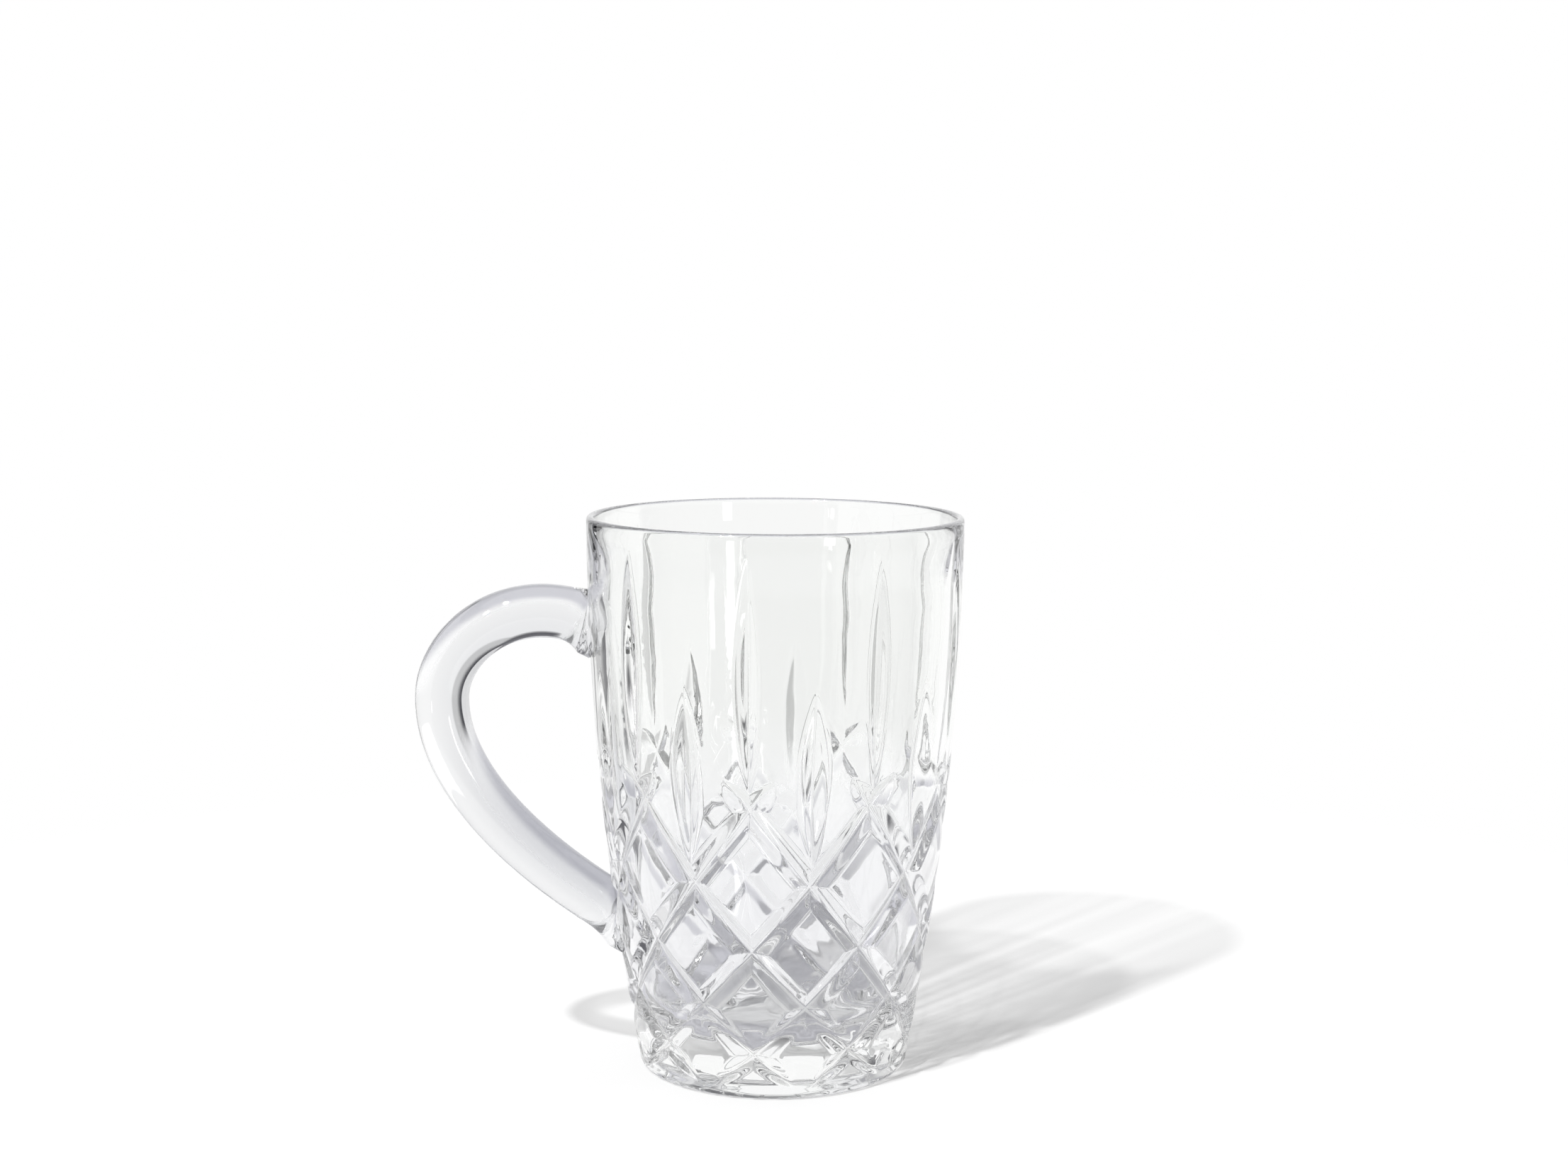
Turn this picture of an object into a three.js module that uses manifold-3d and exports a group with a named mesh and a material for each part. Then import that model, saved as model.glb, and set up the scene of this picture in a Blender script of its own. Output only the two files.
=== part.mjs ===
import * as THREE from 'three';
import { mergeVertices } from 'three/addons/utils/BufferGeometryUtils.js';
import Module from 'manifold-3d';

// A handled tea glass: a barrel-shaped cup of clear pressed glass with a thick base, cut all round
// with a diamond lattice under long and short leaves, and a round glass handle fused to its wall.
// Millimetres, +Z up. The origin is on the cup's axis at the standing face, the handle is at -X.

// Cup
const HEIGHT = 122;
const RIM_DIAMETER = 82.4;
const FOOT_DIAMETER = 58.8;
const FOOT_EDGE_RADIUS = 1.6;
const FLOOR_THICKNESS = 9.6;
const FLOOR_CORNER_RADIUS = 4.5;
const LIP_THICKNESS = 1.8;
const LIP_TAPER_HEIGHT = 16;
const WALL_BELOW_LIP = 3.4;
const WALL_AT_FLOOR = 4.8;

// Diamond lattice: crossing grooves on five rows, closer together and narrower towards the foot
const COLUMNS = 9;
const LATTICE_TOP_HEIGHT = 64.2;
const LATTICE_FOOT_HEIGHT = 9.9;
const ROW_STEPS = 4;
const ROW_STEP_SHRINK = 2;
const GROOVE_WIDTH = 5.9;
const GROOVE_DEPTH = 2;
const GROOVE_RISE_PAST_TOP_ROW = 7;
const GROOVE_DROP_PAST_FOOT_ROW = 7.2;
const GROOVE_RUNOUT = 6;

// Leaves: a long one over each crossing of the top row, a short one over each of the next row
const LONG_LEAF_WIDTH = 4.8;
const SHORT_LEAF_WIDTH = 6.2;
const LEAF_DEPTH_PER_WIDTH = 0.34;
const LONG_LEAF_BELOW_RIM = 6;
const SHORT_LEAF_BELOW_LONG = 27;
const LEAF_ABOVE_CROSSING = 4.5;

// Handle
const ROD_DIAMETER = 11.8;
const FINGER_GAP = 25.7;
const UPPER_JOINT_BELOW_RIM = 24.8;
const LOWER_JOINT_HEIGHT = 31.2;
const BELLY_BELOW_RIM = 40.5;
const UPPER_JOINT_TILT = THREE.MathUtils.degToRad(29);
const LOWER_JOINT_TILT = THREE.MathUtils.degToRad(29.5);
const CREST_ROUNDING = 21;
const SHOULDER_ROUNDING = 13.5;
const BELLY_ROUNDING = 21;
const TAIL_STRAIGHTNESS = 20.5;
const FLARE_RISE = 1.7;
const FLARE_LENGTH = 6;
const SEAT_GAP = 0.3;

// Facets
const CUP_SEGMENTS = 54;
const SIDE_STEPS = 6;
const LIP_STEPS = 4;
const FOOT_EDGE_STEPS = 3;
const FLOOR_CORNER_STEPS = 4;
const LEAF_STEPS = 8;
const GROOVE_STEPS_PER_ROW = 3;
const ROD_SEGMENTS = 20;
const ROD_STEPS = 30;

// Cutters stand clear of the wall and run past their ends by a share of the run-out
const CUT_CLEARANCE = 1;
const CUT_OVERRUN = 0.06;
const TANGENT_STEP = 0.01;
const HALVINGS = 40;

const RIM_RADIUS = RIM_DIAMETER / 2;
const FOOT_RADIUS = FOOT_DIAMETER / 2;
const HALF_COLUMN = Math.PI / COLUMNS;
const HANDLE_ANGLE = Math.PI;

const wasm = await Module();
wasm.setup();

function toSolid(geometry) {
  geometry.deleteAttribute('normal');
  geometry.deleteAttribute('uv');
  const merged = mergeVertices(geometry);
  const mesh = new wasm.Mesh({
    numProp: 3,
    vertProperties: new Float32Array(merged.attributes.position.array),
    triVerts: new Uint32Array(merged.index.array),
  });
  return new wasm.Manifold(mesh);
}

function toGeometry(solid) {
  const mesh = solid.getMesh();
  const geometry = new THREE.BufferGeometry();
  geometry.setAttribute('position', new THREE.BufferAttribute(mesh.vertProperties, 3));
  geometry.setIndex(new THREE.BufferAttribute(mesh.triVerts, 1));
  geometry.computeVertexNormals();
  return geometry;
}

// A closed solid through rings of points, each ring turning right-handed about the way along
function loft(rings) {
  const size = rings[0].length;
  const last = (rings.length - 1) * size;
  const index = [];
  for (let ring = 0; ring < rings.length - 1; ring += 1) {
    for (let side = 0; side < size; side += 1) {
      const next = (side + 1) % size;
      const a = ring * size + side;
      const b = ring * size + next;
      index.push(a, b, b + size, a, b + size, a + size);
    }
  }
  for (let side = 1; side < size - 1; side += 1) {
    index.push(0, side + 1, side);
    index.push(last, last + side, last + side + 1);
  }
  const geometry = new THREE.BufferGeometry().setFromPoints(rings.flat());
  geometry.setIndex(index);
  return geometry;
}

// Outer side of the cup: a parabola that stands upright at the rim
function outerRadius(z) {
  return RIM_RADIUS - (RIM_RADIUS - FOOT_RADIUS) * (1 - z / HEIGHT) ** 2;
}

function outerSlope(z) {
  return (2 * (RIM_RADIUS - FOOT_RADIUS) * (1 - z / HEIGHT)) / HEIGHT;
}

// The wall thins slowly from the floor to the lip taper, and then quickly to the lip
function wallThickness(z) {
  const taperStart = HEIGHT - LIP_TAPER_HEIGHT;
  if (z < taperStart) {
    const up = (z - FLOOR_THICKNESS) / (taperStart - FLOOR_THICKNESS);
    return THREE.MathUtils.lerp(WALL_AT_FLOOR, WALL_BELOW_LIP, up);
  }
  const thinned = THREE.MathUtils.smoothstep(z, taperStart, HEIGHT);
  return THREE.MathUtils.lerp(WALL_BELOW_LIP, LIP_THICKNESS, thinned);
}

function innerRadius(z) {
  return outerRadius(z) - wallThickness(z);
}

function arcPoints(x, z, radius, from, to, steps) {
  const arc = new THREE.EllipseCurve(x, z, radius, radius, from, to, to < from);
  return arc.getPoints(steps);
}

// Half section of the outside, from the axis at the foot to the start of the lip, grown outwards
function outsideProfile(growth) {
  const footX = outerRadius(FOOT_EDGE_RADIUS) - FOOT_EDGE_RADIUS;
  const edge = arcPoints(footX, FOOT_EDGE_RADIUS, FOOT_EDGE_RADIUS, -Math.PI / 2, 0, FOOT_EDGE_STEPS);
  const points = [new THREE.Vector2(0, 0)];
  edge.forEach((point) => points.push(new THREE.Vector2(point.x + growth, point.y)));
  const top = HEIGHT - LIP_THICKNESS / 2;
  for (let step = 1; step <= SIDE_STEPS; step += 1) {
    const z = THREE.MathUtils.lerp(FOOT_EDGE_RADIUS, top, step / SIDE_STEPS);
    points.push(new THREE.Vector2(outerRadius(z) + growth, z));
  }
  return points;
}

function lipProfile() {
  const radius = LIP_THICKNESS / 2;
  const z = HEIGHT - radius;
  return arcPoints(outerRadius(z) - radius, z, radius, 0, Math.PI, LIP_STEPS).slice(1);
}

// Half section of the inside, from below the lip down to the axis at the floor
function insideProfile() {
  const cornerTop = FLOOR_THICKNESS + FLOOR_CORNER_RADIUS;
  const points = [];
  const top = HEIGHT - LIP_THICKNESS / 2;
  for (let step = 1; step <= SIDE_STEPS; step += 1) {
    const z = THREE.MathUtils.lerp(top, cornerTop, step / SIDE_STEPS);
    points.push(new THREE.Vector2(innerRadius(z), z));
  }
  const cornerX = innerRadius(cornerTop) - FLOOR_CORNER_RADIUS;
  const corner = arcPoints(cornerX, cornerTop, FLOOR_CORNER_RADIUS, 0, -Math.PI / 2, FLOOR_CORNER_STEPS);
  return [...points, ...corner.slice(1), new THREE.Vector2(0, FLOOR_THICKNESS)];
}

function revolve(profile) {
  const geometry = new THREE.LatheGeometry(profile, CUP_SEGMENTS);
  geometry.rotateX(Math.PI / 2);
  return toSolid(geometry);
}

function wallNormal(angle, z) {
  return new THREE.Vector3(Math.cos(angle), Math.sin(angle), -outerSlope(z)).normalize();
}

function wallPoint(angle, z) {
  const radius = outerRadius(z);
  return new THREE.Vector3(radius * Math.cos(angle), radius * Math.sin(angle), z);
}

// Three-cornered section of a cut with a V floor, across the way along
function mitreSection(foot, normal, along, depth, halfWidthPerDepth) {
  const across = new THREE.Vector3().crossVectors(along, normal).normalize();
  const halfWidth = (depth + CUT_CLEARANCE) * halfWidthPerDepth;
  const top = foot.clone().addScaledVector(normal, CUT_CLEARANCE);
  const right = top.clone().addScaledVector(across, halfWidth);
  const left = top.clone().addScaledVector(across, -halfWidth);
  return [right, foot.clone().addScaledVector(normal, -depth), left];
}

// A leaf is deepest and widest half way up and runs out to a point at both ends
function leafCut(angle, bottom, top, width, growth) {
  const rings = [];
  const wings = 1 / 2 / LEAF_DEPTH_PER_WIDTH;
  for (let step = 0; step <= LEAF_STEPS; step += 1) {
    const up = THREE.MathUtils.lerp(-CUT_OVERRUN, 1 + CUT_OVERRUN, step / LEAF_STEPS);
    const z = THREE.MathUtils.lerp(bottom, top, up);
    const depth = width * LEAF_DEPTH_PER_WIDTH * (1 - (2 * up - 1) ** 2);
    const normal = wallNormal(angle, z);
    const along = new THREE.Vector3(outerSlope(z) * Math.cos(angle), outerSlope(z) * Math.sin(angle), 1);
    const foot = wallPoint(angle, z).addScaledVector(normal, growth);
    rings.push(mitreSection(foot, normal, along, depth, wings));
  }
  return toSolid(loft(rings));
}

// Drop from the top row of crossings to the next one
function firstRowStep() {
  const shrunk = (ROW_STEP_SHRINK * ROW_STEPS * (ROW_STEPS - 1)) / 2;
  return (LATTICE_TOP_HEIGHT - LATTICE_FOOT_HEIGHT + shrunk) / ROW_STEPS;
}

// Height of a groove after a number of rows down from the top row
function grooveHeight(rows) {
  return LATTICE_TOP_HEIGHT - firstRowStep() * rows + (ROW_STEP_SHRINK * rows * (rows - 1)) / 2;
}

// Drop of a groove for one row, at a number of rows down
function grooveSteepness(rows) {
  return firstRowStep() - ROW_STEP_SHRINK * (rows - 1 / 2);
}

// Rows down from the top row at which a groove passes a height, found by halving
function grooveRows(z) {
  let low = -ROW_STEPS;
  let high = 2 * ROW_STEPS;
  for (let halving = 0; halving < HALVINGS; halving += 1) {
    const middle = (low + high) / 2;
    if (grooveHeight(middle) > z) {
      low = middle;
    } else {
      high = middle;
    }
  }
  return low;
}

// Depth follows the row step, rises from an end of the groove and is full after the run-out
function grooveDepth(rows, fromEnd) {
  const share = Math.min(fromEnd / GROOVE_RUNOUT, 1);
  const inLattice = THREE.MathUtils.clamp(rows, 0, ROW_STEPS);
  const full = (GROOVE_DEPTH * grooveSteepness(inLattice)) / grooveSteepness(0);
  return full * (1 - (1 - share) ** 2);
}

// A groove winds down the wall, half a column to a row
function grooveCut(startAngle, hand, growth) {
  const topEnd = LATTICE_TOP_HEIGHT + GROOVE_RISE_PAST_TOP_ROW;
  const footEnd = LATTICE_FOOT_HEIGHT - GROOVE_DROP_PAST_FOOT_ROW;
  const overrun = GROOVE_RUNOUT * CUT_OVERRUN;
  const first = grooveRows(topEnd + overrun);
  const last = grooveRows(footEnd - overrun);
  const steps = Math.ceil((last - first) * GROOVE_STEPS_PER_ROW);
  const angleAt = (rows) => startAngle + hand * rows * HALF_COLUMN;
  const pointAt = (rows) => wallPoint(angleAt(rows), grooveHeight(rows));
  const rings = [];
  for (let step = 0; step <= steps; step += 1) {
    const rows = THREE.MathUtils.lerp(first, last, step / steps);
    const z = grooveHeight(rows);
    const normal = wallNormal(angleAt(rows), z);
    const along = pointAt(rows + TANGENT_STEP).sub(pointAt(rows - TANGENT_STEP));
    const depth = grooveDepth(rows, Math.min(topEnd - z, z - footEnd));
    const foot = pointAt(rows).addScaledVector(normal, growth);
    rings.push(mitreSection(foot, normal, along, depth, GROOVE_WIDTH / 2 / GROOVE_DEPTH));
  }
  return toSolid(loft(rings));
}

function cutPattern(blank, growth) {
  const longTop = HEIGHT - LONG_LEAF_BELOW_RIM;
  const shortTop = longTop - SHORT_LEAF_BELOW_LONG;
  let cut = blank;
  for (let column = 0; column < COLUMNS; column += 1) {
    const angle = HANDLE_ANGLE + 2 * column * HALF_COLUMN;
    const between = angle + HALF_COLUMN;
    const longFoot = grooveHeight(0) + LEAF_ABOVE_CROSSING;
    const shortFoot = grooveHeight(1) + LEAF_ABOVE_CROSSING;
    cut = cut.subtract(leafCut(angle, longFoot, longTop, LONG_LEAF_WIDTH, growth));
    cut = cut.subtract(leafCut(between, shortFoot, shortTop, SHORT_LEAF_WIDTH, growth));
    cut = cut.subtract(grooveCut(angle, 1, growth));
    cut = cut.subtract(grooveCut(angle, -1, growth));
  }
  return cut;
}

function makeCup() {
  return cutPattern(revolve([...outsideProfile(0), ...lipProfile(), ...insideProfile()]), 0);
}

// Centreline of the handle: over the crest to the belly, then down in a long tail to the lower joint
function handlePath() {
  const upperZ = HEIGHT - UPPER_JOINT_BELOW_RIM;
  const upper = new THREE.Vector3(-innerRadius(upperZ), 0, upperZ);
  const lower = new THREE.Vector3(-innerRadius(LOWER_JOINT_HEIGHT), 0, LOWER_JOINT_HEIGHT);
  const belly = new THREE.Vector3(-(RIM_RADIUS + FINGER_GAP + ROD_DIAMETER / 2), 0, HEIGHT - BELLY_BELOW_RIM);
  const leaving = new THREE.Vector3(-Math.cos(UPPER_JOINT_TILT), 0, Math.sin(UPPER_JOINT_TILT));
  const arriving = new THREE.Vector3(Math.cos(LOWER_JOINT_TILT), 0, -Math.sin(LOWER_JOINT_TILT));
  const up = new THREE.Vector3(0, 0, 1);
  const path = new THREE.CurvePath();
  path.add(new THREE.CubicBezierCurve3(
    upper,
    upper.clone().addScaledVector(leaving, CREST_ROUNDING),
    belly.clone().addScaledVector(up, SHOULDER_ROUNDING),
    belly,
  ));
  path.add(new THREE.CubicBezierCurve3(
    belly,
    belly.clone().addScaledVector(up, -BELLY_ROUNDING),
    lower.clone().addScaledVector(arriving, -TAIL_STRAIGHTNESS),
    lower,
  ));
  return path;
}

// The rod spreads a little where each end was pressed on to the wall
function makeHandle() {
  const path = handlePath();
  const length = path.getLength();
  const side = new THREE.Vector3(0, 1, 0);
  const rings = [];
  for (let step = 0; step <= ROD_STEPS; step += 1) {
    const share = step / ROD_STEPS;
    const centre = path.getPointAt(share);
    const along = path.getTangentAt(share);
    const out = new THREE.Vector3().crossVectors(side, along);
    const toWall = Math.min(share, 1 - share) * length - WALL_BELOW_LIP;
    const spread = THREE.MathUtils.clamp(1 - toWall / FLARE_LENGTH, 0, 1);
    const radius = ROD_DIAMETER / 2 + FLARE_RISE * spread ** 2;
    const ring = [];
    for (let segment = 0; segment < ROD_SEGMENTS; segment += 1) {
      const turn = (2 * Math.PI * segment) / ROD_SEGMENTS;
      const point = centre.clone().addScaledVector(out, radius * Math.cos(turn));
      ring.push(point.addScaledVector(side, radius * Math.sin(turn)));
    }
    rings.push(ring);
  }
  const axisTop = new THREE.Vector2(0, HEIGHT - LIP_THICKNESS / 2);
  const seat = cutPattern(revolve([...outsideProfile(SEAT_GAP), axisTop]), SEAT_GAP);
  return toSolid(loft(rings)).subtract(seat);
}

function glassPiece(name, solid, colour, roughness) {
  const material = new THREE.MeshStandardMaterial({ color: colour, roughness, metalness: 0 });
  const piece = new THREE.Mesh(toGeometry(solid), material);
  piece.name = name;
  return piece;
}

const teaGlass = new THREE.Group();
teaGlass.add(glassPiece('cup', makeCup(), 0xe9eef0, 0.03));
teaGlass.add(glassPiece('handle', makeHandle(), 0xf2f5f6, 0.03));

export default teaGlass;
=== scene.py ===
"""A handled tea glass of clear pressed glass, standing on a pale table in soft studio light.

The cup is a barrel-shaped blank cut with a diamond lattice under long and short leaves. Its handle is a
round glass rod, bent in a loop and fused to the wall at both ends. Sizes are in metres, +Z is up, the
standing face is at Z = 0 and the handle is towards -X.
"""

from __future__ import annotations

import logging
import math
from dataclasses import dataclass, field
from enum import Enum

import bmesh
import bpy
import numpy as np
from mathutils import Matrix, Vector
from mathutils.geometry import delaunay_2d_cdt

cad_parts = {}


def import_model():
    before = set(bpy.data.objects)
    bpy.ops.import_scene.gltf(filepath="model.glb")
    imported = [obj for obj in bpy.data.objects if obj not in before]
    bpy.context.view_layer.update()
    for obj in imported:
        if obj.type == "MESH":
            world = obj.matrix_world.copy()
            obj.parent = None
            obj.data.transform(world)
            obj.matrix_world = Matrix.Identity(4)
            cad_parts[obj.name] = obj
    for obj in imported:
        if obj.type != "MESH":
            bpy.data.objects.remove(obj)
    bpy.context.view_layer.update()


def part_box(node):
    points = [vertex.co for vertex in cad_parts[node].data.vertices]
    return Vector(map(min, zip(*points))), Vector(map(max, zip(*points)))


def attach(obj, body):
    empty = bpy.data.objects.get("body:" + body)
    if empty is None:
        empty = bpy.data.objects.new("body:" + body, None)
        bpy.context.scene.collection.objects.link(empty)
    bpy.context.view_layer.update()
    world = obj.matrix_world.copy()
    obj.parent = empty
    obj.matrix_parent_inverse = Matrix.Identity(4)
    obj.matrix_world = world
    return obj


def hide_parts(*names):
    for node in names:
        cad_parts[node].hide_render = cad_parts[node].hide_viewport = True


MM = 0.001
WELD = 2e-6
SLIVER = 1e-7
LOG = logging.getLogger("tea_glass")
# Point attribute: how far the glass tint deepens, partly glass colour and partly painted shade.
TINT_AND_PAINTED_SHADE = "tint_and_painted_shade"
EVEN_BLEND = 0.5
STREAK_DETAIL = 1.0
RIPPLE_DETAIL = 1.0
HAZE_SCALE = 35.0
HAZE_DETAIL = 3.0
BOUNCES = {
    "max_bounces": 32,
    "transmission_bounces": 32,
    "glossy_bounces": 16,
    "transparent_max_bounces": 24,
}

Triple = tuple[float, float, float]
Sheet = list[tuple[float, float]]
Ring = list[bmesh.types.BMVert]
Socket = bpy.types.NodeSocket
Wire = tuple[bpy.types.Node, str | int, bpy.types.Node, str | int]


class Hand(Enum):
    """Way in which a groove of the lattice winds down the wall."""

    RIGHT = 1
    LEFT = -1


class LeafKind(Enum):
    """Which crossing of the lattice a leaf stands over, counted in rows from the top row."""

    LONG = 0
    SHORT = 1


def smooth_cut(depth: np.ndarray, blend: float) -> np.ndarray:
    """Keeps depths above 0, with the edge where they reach 0 rounded.

    Args:
        depth: Depths, negative outside the cut.
        blend: Depth, either way, at which the rounding starts.

    Returns:
        The rounded depths.
    """
    overlap = np.maximum(blend - np.abs(depth), 0.0)
    return np.maximum(depth, 0.0) + overlap**2 / (4.0 * blend)


def ease(value: np.ndarray | float, start: float, end: float) -> np.ndarray | float:
    """Rises smoothly from 0 at the start to 1 at the end.

    Args:
        value: Where to take the rise.
        start: Value at and before which it is 0.
        end: Value at and beyond which it is 1.

    Returns:
        Shares from 0 to 1.
    """
    share = np.clip((value - start) / (end - start), 0.0, 1.0)
    return share * share * (3.0 - 2.0 * share)


def mesh_points(mesh: bpy.types.Mesh) -> np.ndarray:
    """Places of a mesh's points.

    Args:
        mesh: Mesh to read.

    Returns:
        One row for each point.
    """
    flat = np.empty(3 * len(mesh.vertices))
    mesh.vertices.foreach_get("co", flat)
    return flat.reshape(-1, 3)


def set_tint_and_painted_shade(mesh: bpy.types.Mesh, values: np.ndarray) -> None:
    """Stores at each point how far the tint deepens, partly glass colour and partly painted shade, for the
    finish to read.
    """
    mesh.attributes.new(TINT_AND_PAINTED_SHADE, "FLOAT", "POINT").data.foreach_set("value", values)


def take_mesh(work: bmesh.types.BMesh, name: str) -> bpy.types.Mesh:
    """Turns a working mesh into a finished one.

    Args:
        work: Working mesh, which is freed.
        name: Name of the finished mesh.

    Returns:
        The finished mesh.
    """
    mesh = bpy.data.meshes.new(name)
    work.to_mesh(mesh)
    work.free()
    return mesh


def bridge(work: bmesh.types.BMesh, ring: Ring, after: Ring) -> None:
    """Joins two closed rings of points with four-sided faces.

    Args:
        work: Working mesh that the points belong to.
        ring: The first ring.
        after: The next ring, with as many points.
    """
    for i, vert in enumerate(ring):
        j = (i + 1) % len(ring)
        work.faces.new((vert, ring[j], after[j], after[i]))


def add_object(name: str, data: bpy.types.ID) -> bpy.types.Object:
    """Adds an object to the scene.

    Args:
        name: Name of the object.
        data: Its mesh, lamp or camera.

    Returns:
        The object, at the origin.
    """
    added = bpy.data.objects.new(name, data)
    bpy.context.scene.collection.objects.link(added)
    return added


def set_inputs(node: bpy.types.Node, values: dict[str | int, object]) -> None:
    """Sets fixed values of a node's inputs, by name or number."""
    for name, value in values.items():
        node.inputs[name].default_value = value


def start_material(name: str, values: dict[str, object]) -> tuple[bpy.types.Material, bpy.types.Node]:
    """Starts a material with its shader.

    Args:
        name: Name of the material.
        values: Fixed values of the shader's inputs.

    Returns:
        The material and its shader.
    """
    material = bpy.data.materials.new(name)
    material.use_nodes = True
    shader = material.node_tree.nodes["Principled BSDF"]
    set_inputs(shader, values)
    return material, shader


def add_sockets(tree: bpy.types.NodeTree, way: str, kind: str, *names: str) -> None:
    """Adds sockets of one kind to the inputs or outputs of a node group."""
    for name in names:
        tree.interface.new_socket(name, in_out=way, socket_type=kind)


def add_node(
    tree: bpy.types.NodeTree,
    kind: str,
    inputs: dict[str | int, object] | None = None,
    **settings: object,
) -> bpy.types.Node:
    """Adds a node to a tree.

    Args:
        tree: Tree of a material, world or node group.
        kind: Type of the node.
        inputs: Fixed values of its inputs, by name or number.
        **settings: Other properties of the node.

    Returns:
        The node.
    """
    node = tree.nodes.new(kind)
    for name, value in settings.items():
        setattr(node, name, value)
    set_inputs(node, inputs or {})
    return node


def join(tree: bpy.types.NodeTree, *wires: Wire) -> None:
    """Links nodes, each wire from a node's output to another node's input."""
    for source, given, target, taken in wires:
        tree.links.new(source.outputs[given], target.inputs[taken])


@dataclass(frozen=True)
class CupForm:
    """Smooth blank of the cup, before the pattern is cut."""

    height: float
    rim_radius: float
    foot_radius: float = 29.4 * MM
    foot_edge_radius: float = 1.6 * MM
    ring_width: float = 2.0 * MM
    recess_depth: float = 3.0 * MM
    recess_slope: float = 6.0 * MM
    floor_thickness: float = 10.9 * MM
    floor_corner_radius: float = 10.0 * MM
    lip_thickness: float = 1.8 * MM
    lip_taper_height: float = 16.0 * MM
    wall_below_lip: float = 3.4 * MM
    wall_at_floor: float = 4.8 * MM

    def outer_radius(self, z: np.ndarray | float) -> np.ndarray | float:
        """Radius of the outside at a height: a parabola that stands upright at the rim."""
        return self.rim_radius - (self.rim_radius - self.foot_radius) * (1.0 - z / self.height) ** 2

    def outer_slope(self, z: np.ndarray | float) -> np.ndarray | float:
        """Growth of the outer radius with height."""
        return 2.0 * (self.rim_radius - self.foot_radius) * (1.0 - z / self.height) / self.height

    def wall(self, z: float) -> float:
        """Thickness of the wall, which thins slowly and then quickly to the lip.

        Args:
            z: Height.

        Returns:
            The thickness at that height.
        """
        taper_start = self.height - self.lip_taper_height
        if z < taper_start:
            share = (z - self.floor_thickness) / (taper_start - self.floor_thickness)
            return self.wall_at_floor + (self.wall_below_lip - self.wall_at_floor) * share
        eased = ease((z - taper_start) / self.lip_taper_height, 0.0, 1.0)
        return self.wall_below_lip + (self.lip_thickness - self.wall_below_lip) * eased

    def inner_radius(self, z: float) -> float:
        """Radius of the inside at a height above the floor's corner."""
        return self.outer_radius(z) - self.wall(z)

    @property
    def lip_start(self) -> float:
        """Height at which the outside turns over into the lip."""
        return self.height - self.lip_thickness / 2.0


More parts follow.
